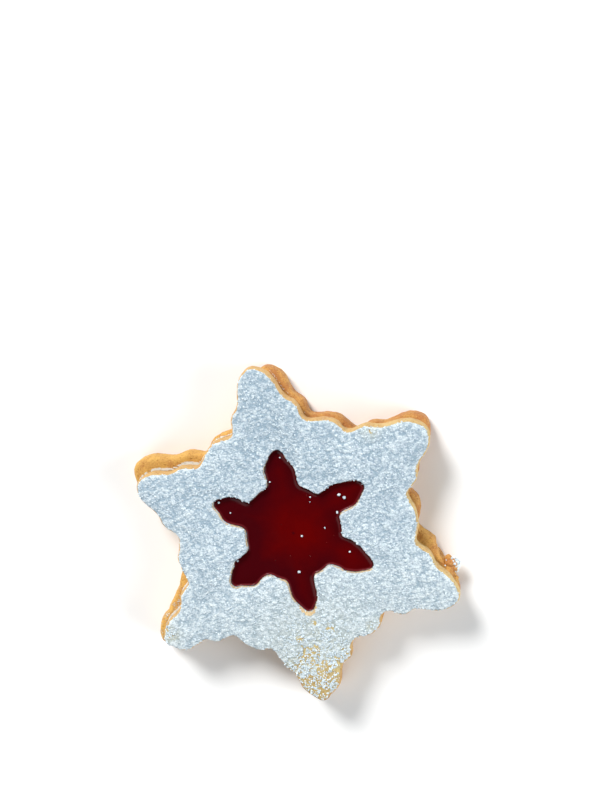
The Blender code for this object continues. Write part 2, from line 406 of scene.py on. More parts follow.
def make_lower():
    """The lower biscuit, closed over the top where the upper one hides it."""
    profile = edge_profile(lower.base, lower.top, BASE_ROUND, TOP_ROUND)
    sides = wall(lower_belly, profile)
    hub_low = drawn_in(sides[0], 0.03)
    under = across(sides[0], hub_low, 26, ease=0.75)[::-1]
    over = across(sides[-1], drawn_in(sides[-1], 0.5), 12, ease=1.6)
    bearing = np.degrees(np.arctan2(lower_belly[:, 0], lower_belly[:, 1])) % 360
    torn = sum(depth * np.exp(-(((bearing - at) / half) ** 2)) for at, half, depth in TORN)
    rough = crumbly([hub_low, *under, *sides, *over], CRUMB_GRAIN + torn)
    rough[..., 2] = np.clip(rough[..., 2], lower.base, lower.top)
    beyond = np.full(rough.shape[:2], FAR_OUT)
    ledge = 1 + len(under) + len(sides) - LEDGE_RINGS
    gap = flat_distance(rough[ledge:].reshape(-1, 3), upper_belly)
    beyond[ledge:] = gap.reshape(-1, AROUND)
    return loft("bottom_biscuit_baked", rough, {"beyond": beyond}, capped=True)


def drawn_in(ring, share):
    """A ring of the lower biscuit shrunk towards its middle."""
    centre = lower_belly.mean(axis=0)
    return np.column_stack([centre + (ring[:, :2] - centre) * share, ring[:, 2]])


# How many rings of the rounded outer and inner edges the sugar reaches on to.
DUSTED_OUTER = 6
DUSTED_INNER = 4
# How many rings lie between a rim and the crown of the upper face, and how many of them are
# coloured as the window's rim.
FACE_RINGS = 18
WINDOW_RIM_RINGS = 3
# The hollow that the jam's sheet lies in: how deep, and the room round its edge.
HOLLOW_DEEP = 0.9
HOLLOW_ROOM = 0.3
HOLLOW_LIP = 0.35


def make_upper():
    """The upper biscuit as one closed skin, and those of its rings that the dusting covers."""
    top = upper.top - SUGAR_THICK
    profile = edge_profile(upper.base, top - RIM_DROP, BASE_ROUND, TOP_ROUND)
    outer = wall(upper_belly, profile)
    profile = edge_profile(upper.base + HOLLOW_DEEP, top - RIM_DROP, WINDOW_BASE_ROUND, WINDOW_ROUND)
    inner = [ring[::-1] for ring in wall(window_belly[::-1], profile)]
    crown = (outer[-1] + inner[-1]) / 2
    crown[:, 2] = top
    outside = across(outer[-1], crown, FACE_RINGS)
    inside = across(crown, inner[-1], FACE_RINGS)
    for index in range(FACE_RINGS):
        turn = (index + 1) / (FACE_RINGS + 1) * math.pi / 2
        outside[index][:, 2] = top - RIM_DROP * (1 - math.sin(turn))
        inside[index][:, 2] = top - RIM_DROP * (1 - math.cos(turn))
    face = [*outside, crown, *inside]
    roof = inner[0][0, 2]
    hollow = [at_height(grown(filling_edge, room), roof) for room in (0.0, HOLLOW_ROOM)]
    lip = at_height(grown(filling_edge, HOLLOW_LIP), upper.base)
    base = [*across(inner[0], hollow[0], 3), *hollow, lip]
    smooth = [*outer, *face, *inner[::-1], *base]
    rim = len(outer) + len(face)
    near_window = np.zeros((len(smooth), AROUND))
    near_window[rim - WINDOW_RIM_RINGS : rim + len(inner)] = 1.0
    rough = crumbly(smooth, CRUMB_GRAIN)
    piece = loft("top_biscuit_baked", rough, {"near_window": near_window}, joins_up=True)
    return piece, np.array(smooth[len(outer) - DUSTED_OUTER : rim + DUSTED_INNER])


# ---- Icing sugar ------------------------------------------------------------

SUGAR_RINGS = 98
# How far the highest sugar stands above the biscuit's own height.
SUGAR_ROOM = 0.25
# The steepest surface that still holds sugar, as its normal's upward share.
SUGAR_TO_RIM = 0.80
SUGAR_TO_WINDOW = 0.90
# How far the sugar's surface dives under the crust where it is bare, too steep or rubbed off.
BARE_DIVE = 0.19
STEEP_DIVE = 0.25
RUBBED_DIVE = 0.20
# The way the sugar's strokes run, and how much they are drawn out.
STREAK_BEARING = 86.0
STREAK_TURN = math.radians(STREAK_BEARING - 90.0)
STREAK_LONG = 1.5
# Strokes and slopes of the sugar that face this way, towards the key lamp, are painted brighter.
PAINTED_LIGHT_WAY = (-0.40, 0.92, 0.0)
# How wide the band along the dusting's edges is that is painted whiter: partly sugar piled up there,
# partly painted highlight.
HEAPED_BAND = 1.1

# Where the dusting is thin, as (x, y, radius, how bare).
THIN_PATCHES = (
    (0.3, -36.4, 6.2, 0.88),
    (0.5, -26.5, 7.0, 0.32),
    (1.7, -32.4, 2.2, 0.88),
    (3.7, -33.8, 2.2, 0.88),
    (-3.5, -35.0, 2.6, 0.88),
    (-5.1, -30.2, 2.0, 0.62),
    (0.2, -27.4, 1.4, 0.46),
    (-1.1, -28.9, 1.6, 0.46),
    (5.4, -30.4, 1.6, 0.52),
    (6.6, -28.6, 1.4, 0.46),
    (-2.6, -23.4, 1.1, 0.52),
    (4.9, -22.3, 1.0, 0.50),
    (1.6, -20.4, 1.0, 0.52),
    (-32.6, -17.4, 1.5, 0.50),
    (-33.5, -15.4, 1.2, 0.80),
    (14.8, -23.6, 1.1, 0.60),
    (23.4, 21.4, 1.2, 0.45),
)

# Where the dusting is rubbed off beside the window, as (x, y, radius).
RUBBED_PATCHES = (
    (0.9, -18.0, 0.75),
    (0.1, -17.8, 0.70),
    (1.7, -17.6, 0.70),
    (-0.6, -17.2, 0.55),
    (2.3, -17.0, 0.45),
    (-1.1, -16.5, 0.40),
)


def streaked(points):
    """The points squeezed along the streaks, so that unevenness is drawn out along them."""
    turn = math.radians(STREAK_BEARING)
    along = points[:, 0] * math.sin(turn) + points[:, 1] * math.cos(turn)
    aside = points[:, 0] * math.cos(turn) - points[:, 1] * math.sin(turn)
    return np.column_stack([along / STREAK_LONG, aside, points[:, 2]])


def dusting(points):
    """How bare, how thin and how rubbed off the dusting is at each point."""
    bare = np.zeros(len(points))
    thin = np.zeros(len(points))
    for x, y, radius, amount in THIN_PATCHES:
        gap = np.hypot(points[:, 0] - x, points[:, 1] - y) / radius
        bare = 1 - (1 - bare) * (1 - amount * np.exp(-(gap**2)))
        thin = np.maximum(thin, amount * np.exp(-((gap / 1.7) ** 2)))
    rubbed = np.zeros(len(points))
    for x, y, radius in RUBBED_PATCHES:
        gap = np.hypot(points[:, 0] - x, points[:, 1] - y) / radius
        rubbed = np.maximum(rubbed, np.exp(-(gap**4)))
    patchy = 0.5 + 0.5 * swell(points, 2.4, 31)
    return np.clip(bare * (0.45 + 0.9 * patchy), 0, 1), thin, rubbed


def make_sugar(crust):
    """The dusting, laid over the crust's rings from its outer edge to the window's."""
    steps = np.linalg.norm(np.diff(crust, axis=0), axis=2).mean(axis=1)
    along = np.concatenate([[0.0], np.cumsum(steps)])
    wanted = np.linspace(0.0, along[-1], SUGAR_RINGS)
    at = np.clip(np.searchsorted(along, wanted, side="right") - 1, 0, len(crust) - 2)
    share = ((wanted - along[at]) / steps[at])[:, None, None]
    rings = crust[at] * (1 - share) + crust[at + 1] * share

    normal = facing(rings, reach=2).reshape(-1, 3)
    points = rings.reshape(-1, 3)
    bare, thin, rubbed = dusting(points)

    drawn = streaked(points)
    folds = 0.24 * swell(drawn, 2.1, 32) + 0.4 * swell(drawn, 1.0, 33) + 1.0 * swell(drawn, 0.55, 34)
    domes, shade = clumps(drawn, 0.6, 35)
    reaches = np.where(np.arange(SUGAR_RINGS) > SUGAR_RINGS / 2, SUGAR_TO_WINDOW, SUGAR_TO_RIM)
    reaches = np.repeat(reaches, AROUND)
    steep = np.clip((reaches - normal[:, 2] + 0.05 * folds) / 0.16, 0, 1)
    thick = SUGAR_THICK * (1 - bare) ** 1.4 * (1 - steep) - BARE_DIVE * bare - STEEP_DIVE * steep
    thick = thick * (1 - rubbed) - RUBBED_DIVE * rubbed
    relief = 0.085 * folds * (1 - 0.4 * bare) + (0.14 + 0.20 * bare) * (domes - 0.45)
    rings = rings + (normal * (thick + relief)[:, None]).reshape(rings.shape)
    over = np.maximum(rings[..., 2] - upper.top, 0.0)
    rings[..., 2] -= over - SUGAR_ROOM * (1 - np.exp(-over / SUGAR_ROOM))

    # Painted light and shade for the colour: lighter on ridges, darker in hollows, whiter along the
    # edges, and lighter on slopes that face the key lamp.
    from_edge = np.minimum(wanted, along[-1] - wanted)
    heaped_highlight = 0.9 * np.exp(-((from_edge / HEAPED_BAND) ** 2))
    painted_light_and_tone = relief / 0.1 + np.repeat(heaped_highlight, AROUND) + 1.8 * np.clip(normal @ PAINTED_LIGHT_WAY, 0.0, 0.5)
    sheet = loft("icing_sugar", rings, {"painted_light_and_tone": painted_light_and_tone, "shade": shade, "thin": thin})
    scant = np.clip(bare + 0.25 * (steep > 0) * (steep < 1), 0, 1)
    return sheet, rings, scant


# ---- Jam --------------------------------------------------------------------

POOL_RINGS = 56
JAM_BELOW_TOP = 1.5
# How high the window's wall draws the jam up, and how far from the wall that fades.
MENISCUS = 0.30
MENISCUS_REACH = 0.35
# How far the sheet's faces end inside its edge.
SHEET_ROUND = 0.2


def jam_height(points, gap):
    """How high the jam stands: level, and drawn up near the wall, which is a gap away."""
    plan = points * (1, 1, 0)
    level = upper.top - JAM_BELOW_TOP + MENISCUS * np.exp(-gap / MENISCUS_REACH)
    return level + 0.09 * swell(plan, 6.5, 41) + 0.025 * swell(plan, 2.2, 42)


def make_jam():
    """The pool in the window, and the sheet of it that holds the biscuits together."""
    centre = jam_wall.mean(axis=0)
    shares = 1 - np.linspace(0.0, 0.97, POOL_RINGS) ** 1.5
    points = np.vstack([at_height(centre + (jam_wall - centre) * share, 0.0) for share in shares])
    gap = flat_distance(points, jam_wall)
    points[:, 2] = jam_height(points, gap)
    pool = points.reshape(POOL_RINGS, AROUND, 3)

    low, high = filling.base, filling.base + JAM_SHEET
    inset = grown(filling_edge, -SHEET_ROUND)
    under = at_height(centre + (filling_edge - centre) * 0.4, low)
    foot = at_height(jam_wall, high)
    sheet = [under, *across(under, at_height(inset, low), 3), at_height(inset, low)]
    sheet += [at_height(filling_edge, (low + high) / 2), at_height(inset, high), foot]
    buried = [*sheet, *across(foot, pool[0], 4)]
    from_wall = np.concatenate([np.zeros(len(buried) * AROUND), gap])
    return loft("jam_set", [*buried, *pool], {"from_wall": from_wall}, capped=True)


# ---- Loose sugar ------------------------------------------------------------

# Sugar that fell on the jam, as (x, y, radius).
JAM_SPECKS = (
    (1.6, 18.9, 0.22),
    (-1.9, 13.8, 0.24),
    (13.1, 7.9, 0.40),
    (14.2, 7.0, 0.44),
    (6.5, 8.6, 0.2),
    (6.2, 7.5, 0.16),
    (11.9, 3.9, 0.36),
    (8.3, 0.9, 0.26),
    (2.7, 0.0, 0.26),
    (12.8, -5.7, 0.3),
    (0.3, -8.2, 0.36),
    (-13.2, -3.0, 0.34),
    (-14.6, 11.3, 0.28),
    (-12.5, 8.4, 0.2),
)
# Bubbles in the jam's skin, as (x, y, radius).
JAM_BUBBLES = (
    (-0.9, -4.2, 0.26),
    (3.6, -5.0, 0.24),
    (-4.7, -4.4, 0.20),
    (8.0, -2.6, 0.20),
    (9.9, -1.2, 0.18),
    (5.7, 9.1, 0.20),
    (-1.5, 3.6, 0.16),
    (-7.6, -8.8, 0.22),
    (-6.9, -7.9, 0.16),
)


def on_jam(table, proud):
    """Spots on the jam's skin, which stand proud of it by a share of their radius."""
    spots = np.array([(x, y, 0.0, radius) for x, y, radius in table])
    gap = flat_distance(spots, jam_wall)
    spots[:, 2] = jam_height(spots[:, :3], gap) + proud * spots[:, 3]
    return spots


def make_bubbles():
    """Small bubbles, most of each sunk in the jam's skin."""
    return lumps("jam_bubbles", on_jam(JAM_BUBBLES, -0.25), 53, 3, 0.0, far_from="from_wall")


def lumps(name, spots, seed, fineness=1, uneven=0.10, far_from=None):
    """Small uneven lumps as one piece, from (x, y, z, radius) for each.

    They can carry a distance that their material asks for, as being far from everything.
    """
    bpy.ops.mesh.primitive_ico_sphere_add(subdivisions=fineness, radius=1.0)
    pattern = bpy.context.object
    ball = np.array([vertex.co for vertex in pattern.data.vertices])
    faces = np.array([face.vertices for face in pattern.data.polygons])
    bpy.data.objects.remove(pattern)
    spots = np.asarray(spots)
    rng = np.random.default_rng(seed)
    stretch = rng.uniform(0.72, 1.2, (len(spots), 1, 3))
    points = ball[None] * stretch + rng.normal(0.0, uneven, (len(spots), len(ball), 3))
    points = points * spots[:, None, 3:] + spots[:, None, :3]
    faces = faces[None] + len(ball) * np.arange(len(spots))[:, None, None]
    layers = {"shade": np.repeat(rng.uniform(0, 1, len(spots)), len(ball))}
    if far_from:
        layers[far_from] = np.full(len(ball) * len(spots), FAR_OUT)
    return shaped(name, points.reshape(-1, 3), faces.reshape(-1, 3).tolist(), layers)


# How many grains lie on a square millimetre, how many more where it is bare, and their radii.
GRAINS = 0.45
GRAINS_ON_BARE = 6.0
GRAIN_RADII = (0.10, 0.26)


def scattered(rings, bare, seed):
    """Grains over the upper face: close together where the dusting is thin, few elsewhere."""
    rng = np.random.default_rng(seed)
    points = rings.reshape(-1, 3)
    chance = cell_areas(rings).reshape(-1) * (GRAINS + GRAINS_ON_BARE * bare)
    kept = rng.uniform(0, 1, len(points)) < chance
    radius = rng.uniform(*GRAIN_RADII, kept.sum())
    spots = np.column_stack([points[kept], radius])
    spots[:, :2] += rng.normal(0.0, 0.08, (len(spots), 2))
    highest = upper.top + SUGAR_ROOM - 1.1 * radius
    spots[:, 2] = np.minimum(spots[:, 2] + 0.2 * bare[kept], highest)
    return spots


def cell_areas(rings):
    """The surface round each point of the rings, in square millimetres."""
    around = np.linalg.norm(np.roll(rings, -1, axis=1) - rings, axis=2)
    outward = np.linalg.norm(np.gradient(rings, axis=0), axis=2)
    return around * outward


def make_loose_sugar(rings, bare):
    """Single grains, on the dusting and on the jam."""
    spots = np.vstack([scattered(rings, bare, 51), on_jam(JAM_SPECKS, 0.35)])
    return lumps("loose_sugar", spots, 52)


# ---- A burr of dough on the lower biscuit's edge ----------------------------

BURR_BEARING = 112.2
BURR_STANDS_OUT = 0.5


def on_burr(table):
    """Spots at the burr, from places along and beyond the lower biscuit's edge."""
    angle = math.radians(BURR_BEARING)
    out = np.array([math.sin(angle), math.cos(angle)])
    along = np.array([out[1], -out[0]])
    edge = lower.wall(MIDDLE, lower.waist, [BURR_BEARING], True)[0] + BURR_STANDS_OUT
    return [
        (*(out * (edge + beyond) + along * aside), height, radius)
        for aside, beyond, height, radius in table
    ]


def make_burr():
    """A rag of dough left by the cutter, and the sugar that caught on it."""
    crumb = lumps("dough_burr", on_burr(BURR_LUMPS), 61, 4, 0.02, far_from="beyond")
    return crumb, lumps("burr_sugar", on_burr(BURR_SUGAR), 62, 2, 0.07)


# Each as (aside along the edge, beyond it, height, radius).
BURR_LUMPS = (
    (-1.2, -0.8, 4.3, 0.9),
    (-0.3, -0.4, 4.6, 1.1),
    (0.7, -0.3, 4.6, 1.2),
    (1.8, -0.3, 4.7, 1.2),
    (2.7, -0.6, 4.4, 1.0),
    (-0.9, 0.4, 4.2, 0.9),
    (-0.3, 0.8, 4.2, 1.0),
    (0.7, 0.8, 4.2, 1.0),
    (1.6, 0.3, 4.4, 0.9),
    (3.2, 1.6, 3.9, 0.8),
    (3.8, 1.4, 3.7, 0.8),
)
BURR_SUGAR = (
    (0.1, 1.5, 4.0, 0.80),
    (-0.9, 1.1, 4.2, 0.70),
    (-1.7, 0.4, 4.4, 0.40),
    (-1.5, -0.1, 4.9, 0.30),
    (-1.2, 0.8, 4.8, 0.38),
    (-0.9, 0.3, 5.1, 0.30),
    (-0.4, 0.8, 5.2, 0.34),
    (0.3, 1.2, 4.9, 0.34),
    (-0.8, 1.4, 4.8, 0.34),
    (-0.1, 1.8, 4.6, 0.34),
    (0.7, 1.7, 4.6, 0.34),
    (-1.4, 1.4, 4.5, 0.28),
    (-0.8, 1.9, 4.2, 0.30),
    (1.2, 1.2, 4.8, 0.28),
    (1.3, 1.7, 4.3, 0.36),
    (0.3, -1.3, 5.6, 0.24),
    (1.2, -1.4, 5.6, 0.26),
    (-1.0, -1.3, 5.5, 0.17),
    (1.9, -1.1, 5.6, 0.19),
)


# ---- Finishes ---------------------------------------------------------------

class Nodes:
    """A node tree in the making. Sizes given to it are in millimetres."""

    def __init__(self, tree):
        self.tree = tree
        self.place = None
        self.axes = None

    def add(self, kind, inputs=(), **settings):
        node = self.tree.nodes.new(kind)
        for name, value in settings.items():
            setattr(node, name, value)
        for key, value in dict(inputs).items():
            if isinstance(value, bpy.types.NodeSocket):
                self.tree.links.new(value, node.inputs[key])
            else:
                node.inputs[key].default_value = value
        return node

    def noise(self, size, detail=2.0, rough=0.5):
        """Cloudy unevenness from 0 to 1, its humps about a size across."""
        inputs = {"Vector": self.place, "Scale": 1 / (size * MM), "Detail": detail, "Roughness": rough}
        return self.add("ShaderNodeTexNoise", inputs).outputs["Fac"]

    def cells(self, size):
        """Distance from the nearest of many points a size apart, in sizes."""
        inputs = {"Vector": self.place, "Scale": 1 / (size * MM)}
        return self.add("ShaderNodeTexVoronoi", inputs).outputs["Distance"]

    def share(self, value, low, high):
        """A value spread out so that low gives 0 and high gives 1."""
        inputs = {"Value": value, "From Min": low, "From Max": high}
        return self.add("ShaderNodeMapRange", inputs).outputs["Result"]

    def at(self, axis):
        """A point's place along an axis, in metres."""
        if self.axes is None:
            self.axes = self.add("ShaderNodeSeparateXYZ", {0: self.place}).outputs
        return self.axes[axis]

    def along(self, axis, low, high):
        """0 where a point lies at low along an axis, and 1 where it lies at high."""
        return self.share(self.at(axis), low * MM, high * MM)

    def facing(self):
        """The way the surface faces, as its share along each axis."""
        normal = self.add("ShaderNodeNewGeometry").outputs["Normal"]
        return self.add("ShaderNodeSeparateXYZ", {0: normal}).outputs

    def mix(self, share, first, second, blend="MIX"):
        inputs = {0: share, 6: first, 7: second}
        return self.add("ShaderNodeMix", inputs, data_type="RGBA", blend_type=blend).outputs[2]

    def sum(self, first, second, operation="ADD"):
        return self.add("ShaderNodeMath", {0: first, 1: second}, operation=operation).outputs[0]

    def times(self, first, *others):
        for other in others:
            first = self.sum(first, other, "MULTIPLY")
        return first

    def total(self, first, *others):
        for other in others:
            first = self.sum(first, other)
        return first

    def swing(self, unevenness, amount):
        """Unevenness from 0 to 1 made to swing to both sides of nothing, by an amount in all."""
        return self.times(self.sum(unevenness, 0.5, "SUBTRACT"), amount)

    def rest(self, share):
        """What a share leaves of the whole."""
        return self.sum(1.0, share, "SUBTRACT")

    def measured(self, name):
        """A point value that the mesh carries."""
        return self.add("ShaderNodeAttribute", attribute_name=name).outputs["Fac"]


def rgb(red, green, blue):
    return (red, green, blue, 1.0)


CRUST_PALE = rgb(0.83, 0.52, 0.13)
CRUST_BROWN = rgb(0.52, 0.22, 0.06)
PORE_PAINTED_SHADE = rgb(0.72, 0.56, 0.42)
LEFT_WALL_PALE = rgb(0.70, 0.48, 0.21)
RIGHT_WALL_PALE = rgb(0.72, 0.57, 0.27)
WALL_BROWN = rgb(0.54, 0.29, 0.10)
FACE_PALE = rgb(0.65, 0.56, 0.28)
FACE_BROWN = rgb(0.53, 0.38, 0.13)
WINDOW_PALE = rgb(0.80, 0.66, 0.42)
WINDOW_BROWN = rgb(0.66, 0.45, 0.20)
# Icing sugar's colours in painted light: lit white, shaded blue-grey, and lit warm by light bounced
# off the dough.
SNOW_LIT = rgb(0.81, 0.895, 0.940)
SNOW_SHADED = rgb(0.30, 0.405, 0.500)
SNOW_IN_WARM_BOUNCE = rgb(0.90, 0.80, 0.62)
FACE_THROUGH_SNOW = rgb(0.66, 0.59, 0.34)
# The jam's colours: lit and deep tones, a painted reflection, and a staining colour with painted
# shade.
JAM_LIT = rgb(0.098, 0.0002, 0.0004)
JAM_DEEP = rgb(0.048, 0.0006, 0.0022)
JAM_REFLECTION = rgb(0.14, 0.016, 0.020)
JAM_STAIN_AND_SHADE = rgb(0.075, 0.008, 0.008)


def effect(name, takes, gives):
    """An effect that several finishes share. Returns its nodes, and its inputs by name."""
    tree = bpy.data.node_groups.new(name, "ShaderNodeTree")
    for label, kind, value in takes:
        socket = tree.interface.new_socket(label, in_out="INPUT", socket_type=kind)
        if value is not None:
            socket.default_value = value
    for label, kind in gives:
        tree.interface.new_socket(label, in_out="OUTPUT", socket_type=kind)
    nodes = Nodes(tree)
    inputs = nodes.add("NodeGroupInput").outputs
    nodes.place = inputs["Place"]
    return nodes, inputs


def finish(name, **constants):
    """A new material. Returns it, its nodes and its shader."""
    material = bpy.data.materials.new(name)
    material.use_nodes = True
    nodes = Nodes(material.node_tree)
    nodes.place = nodes.add("ShaderNodeTexCoord").outputs["Object"]
    shader = material.node_tree.nodes["Principled BSDF"]
    for label, value in constants.items():
        shader.inputs[label.replace("_", " ")].default_value = value
    return material, nodes, shader


def placed(nodes, tree, **values):
    """A shared effect put into a material with its own values."""
    node = nodes.add("ShaderNodeGroup", node_tree=tree)
    nodes.tree.links.new(nodes.place, node.inputs["Place"])
    for label, value in values.items():
        socket = node.inputs[label.replace("_", " ")]
        if isinstance(value, bpy.types.NodeSocket):
            nodes.tree.links.new(value, socket)
        else:
            socket.default_value = value
    return node.outputs


def link(nodes, value, shader, label):
    nodes.tree.links.new(value, shader.inputs[label])


def bumped(nodes, shader, height, depth):
    bump = nodes.add("ShaderNodeBump", {"Height": height, "Distance": depth * MM, "Strength": 1.0})
    link(nodes, bump.outputs["Normal"], shader, "Normal")


COLOUR, VALUE, VECTOR = "NodeSocketColor", "NodeSocketFloat", "NodeSocketVector"


def make_crumb_effect():
    """The open crumb of short dough: fine grain, pores, and butter-browned blotches."""
    takes = (("Place", VECTOR, None), ("Browning", VALUE, 0.5))
    takes += (("Pale", COLOUR, CRUST_PALE), ("Brown", COLOUR, CRUST_BROWN))
    gives = (("Colour", COLOUR), ("Height", VALUE), ("Roughness", VALUE))
    nodes, inputs = effect("short crumb", takes, gives)
    grain = nodes.noise(0.30, detail=4.0, rough=0.62)
    blotch = nodes.noise(2.4, detail=3.0, rough=0.6)
    pores = nodes.share(nodes.cells(0.75), 0.10, 0.34)
    toasted = nodes.total(inputs["Browning"], nodes.swing(blotch, 1.9), nodes.swing(grain, 1.8))
    colour = nodes.mix(nodes.share(toasted, 0.0, 1.0), inputs["Pale"], inputs["Brown"])
    # Pores are darkened: painted shade in their pits.
    colour = nodes.mix(nodes.share(pores, 1.6, 0.0), colour, PORE_PAINTED_SHADE, blend="MULTIPLY")
    height = nodes.total(nodes.times(grain, 0.8), nodes.times(pores, 0.45))
    roughness = nodes.share(grain, -0.6, 1.3)
    nodes.add("NodeGroupOutput", {"Colour": colour, "Height": height, "Roughness": roughness})
    return nodes.tree


def make_dust_effect():
    """Icing sugar: how it lies in specks, and its colour in painted light, with painted shade in cool
    greys between its grains.
    """
    takes = (("Place", VECTOR, None), ("Cover", VALUE, 0.5), ("Lift", VALUE, 0.5))
    gives = (("Mask", VALUE), ("Colour", COLOUR), ("Height", VALUE))
    nodes, inputs = effect("icing sugar dust", takes, gives)
    speck = nodes.noise(0.42, detail=3.0, rough=0.7)
    turned = {"Vector": nodes.place, "Rotation": (0.0, 0.0, STREAK_TURN), "Scale": (0.5, 1.0, 1.0)}
    nodes.place = nodes.add("ShaderNodeMapping", turned).outputs["Vector"]
    fine = nodes.noise(0.27, detail=3.0, rough=0.65)
    nodes.place = inputs["Place"]
    drift = nodes.noise(2.4, detail=2.0)
    amount = nodes.total(speck, nodes.swing(drift, 0.5))
    mask = nodes.share(nodes.sum(amount, nodes.rest(inputs["Cover"]), "SUBTRACT"), -0.04, 0.05)
    # Painted light and shade: how lit each spot is comes from the input and from fine streaks, and
    # each grain is painted lighter in its middle than at its edge.
    grains = nodes.share(nodes.cells(0.50), 0.62, 0.12)
    lit = nodes.total(inputs["Lift"], nodes.swing(fine, 2.3), nodes.swing(grains, 0.42))
    colour = nodes.mix(nodes.share(lit, 0.0, 1.0), SNOW_SHADED, SNOW_LIT)
    height = nodes.total(nodes.times(fine, 0.8), nodes.times(grains, 0.35))
    nodes.add("NodeGroupOutput", {"Mask": mask, "Colour": colour, "Height": height})
    return nodes.tree


def baked_shortbread(crumb, dust):
    """The lower biscuit's golden dough, with a line of sugar on its ledge and specks on its left."""
    material, nodes, shader = finish("baked shortbread", IOR=1.45)
    low = nodes.along("Z", 1.6, 0.1)
    high = nodes.along("Z", lower.top - 0.9, lower.top - 0.1)
    # Darker on the walls of the far arms, towards +Y, and of a valley at the right.
    far_arms = nodes.times(nodes.along("X", -15, 2), nodes.along("Y", 8, 25))
    valley = nodes.times(nodes.along("X", 16, 21), nodes.along("Y", -6, -1))
    walls = nodes.times(nodes.sum(far_arms, valley, "MAXIMUM"), nodes.along("Z", 0.1, 1.3))
    # Paler on the concave wall at the right, from X 24 to 29 mm and from Y -12 mm up: painted light
    # where the upper biscuit's shadow falls.
    hollow = nodes.times(nodes.along("X", 33, 29), nodes.along("X", 20, 24))
    hollow = nodes.times(hollow, nodes.along("Y", -12, -8))
    torn = nodes.times(nodes.along("X", 29, 33), nodes.along("Y", -4, -9))
    browning = nodes.total(
        nodes.times(low, 0.5),
        nodes.times(high, 0.12),
        nodes.sum(0.24, nodes.times(nodes.at("X"), 0.003 / MM)),
        nodes.times(walls, 0.46),
        nodes.times(hollow, -0.15),
        nodes.times(torn, 0.20),
    )
    out = placed(nodes, crumb, Browning=browning, Pale=CRUST_PALE, Brown=CRUST_BROWN)

    left_arm = nodes.times(nodes.along("X", -13, -18), nodes.along("Y", 0, 6))
    from_wall = nodes.total(nodes.measured("beyond"), nodes.times(left_arm, -0.08))
    ledge = nodes.times(
        nodes.share(from_wall, 0.46, 0.12),
        nodes.along("Z", lower.top - 1.0, lower.top),
        nodes.along("X", 30, 12),
        nodes.sum(0.44, nodes.times(nodes.along("X", 0, -15), 0.50)),
    )
    specks = nodes.times(nodes.along("Y", 6, -12), nodes.along("Z", 1.5, 3.5), nodes.along("X", 20, 0))
    cover = nodes.sum(ledge, nodes.times(specks, 0.40), "MAXIMUM")
    # The ledge's sugar is painted fully lit, then warmed by painted light bounced off the dough.
    snow = placed(nodes, dust, Cover=cover, Lift=1.2)
    snow_in_bounce = nodes.mix(0.5, snow["Colour"], SNOW_IN_WARM_BOUNCE)
    link(nodes, nodes.mix(snow["Mask"], out["Colour"], snow_in_bounce), shader, "Base Color")
    link(nodes, out["Roughness"], shader, "Roughness")
    bumped(nodes, shader, nodes.total(out["Height"], nodes.times(snow["Mask"], 0.4)), 0.30)
    return material


def dusted_shortbread(crumb, dust):
    """The upper biscuit's paler dough, with specks of sugar, and the jam's staining of the window with
    painted shade.
    """
    material, nodes, shader = finish("dusted shortbread", IOR=1.45)
    rim = nodes.along("Z", upper.top - 1.6, upper.top - 0.4)
    tip = nodes.along("Y", -30, -40)
    browning = nodes.total(nodes.sum(0.12, nodes.times(rim, 0.16)), nodes.times(tip, 0.45))
    normal = nodes.facing()
    flat = nodes.share(normal["Z"], 0.5, 0.9)
    near_window = nodes.measured("near_window")
    pale = nodes.mix(nodes.along("X", 12, 30), LEFT_WALL_PALE, RIGHT_WALL_PALE)
    pale = nodes.mix(near_window, nodes.mix(flat, pale, FACE_PALE), WINDOW_PALE)
    brown = nodes.mix(near_window, nodes.mix(flat, WALL_BROWN, FACE_BROWN), WINDOW_BROWN)
    out = placed(nodes, crumb, Browning=browning, Pale=pale, Brown=brown)

    edge = nodes.times(near_window, nodes.rest(flat))
    cover = nodes.total(nodes.sum(0.20, nodes.times(flat, 0.08)), nodes.times(edge, 0.30))
    # The sugar specks are painted with light at a level of 0.75.
    snow = placed(nodes, dust, Cover=cover, Lift=0.75)
    dusted = nodes.mix(snow["Mask"], out["Colour"], snow["Colour"])

    # Jam stains the window's wall, with painted shade added; the staining climbs less high on the
    # sides that face +X and +Y.
    less_shaded = nodes.share(nodes.total(normal["Y"], nodes.times(normal["X"], 0.75)), -0.1, 0.4)
    reached = nodes.total(nodes.at("Z"), nodes.times(less_shaded, 0.42 * MM))
    stain_and_shade = nodes.share(reached, (upper.top - 0.62) * MM, (upper.top - 0.90) * MM)
    stain_and_shade = nodes.times(near_window, stain_and_shade)
    link(nodes, nodes.mix(stain_and_shade, dusted, JAM_STAIN_AND_SHADE), shader, "Base Color")
    link(nodes, nodes.share(snow["Mask"], -2.6, 1.0), shader, "Roughness")
    bumped(nodes, shader, nodes.total(out["Height"], nodes.times(snow["Mask"], 0.5)), 0.22)
    return material


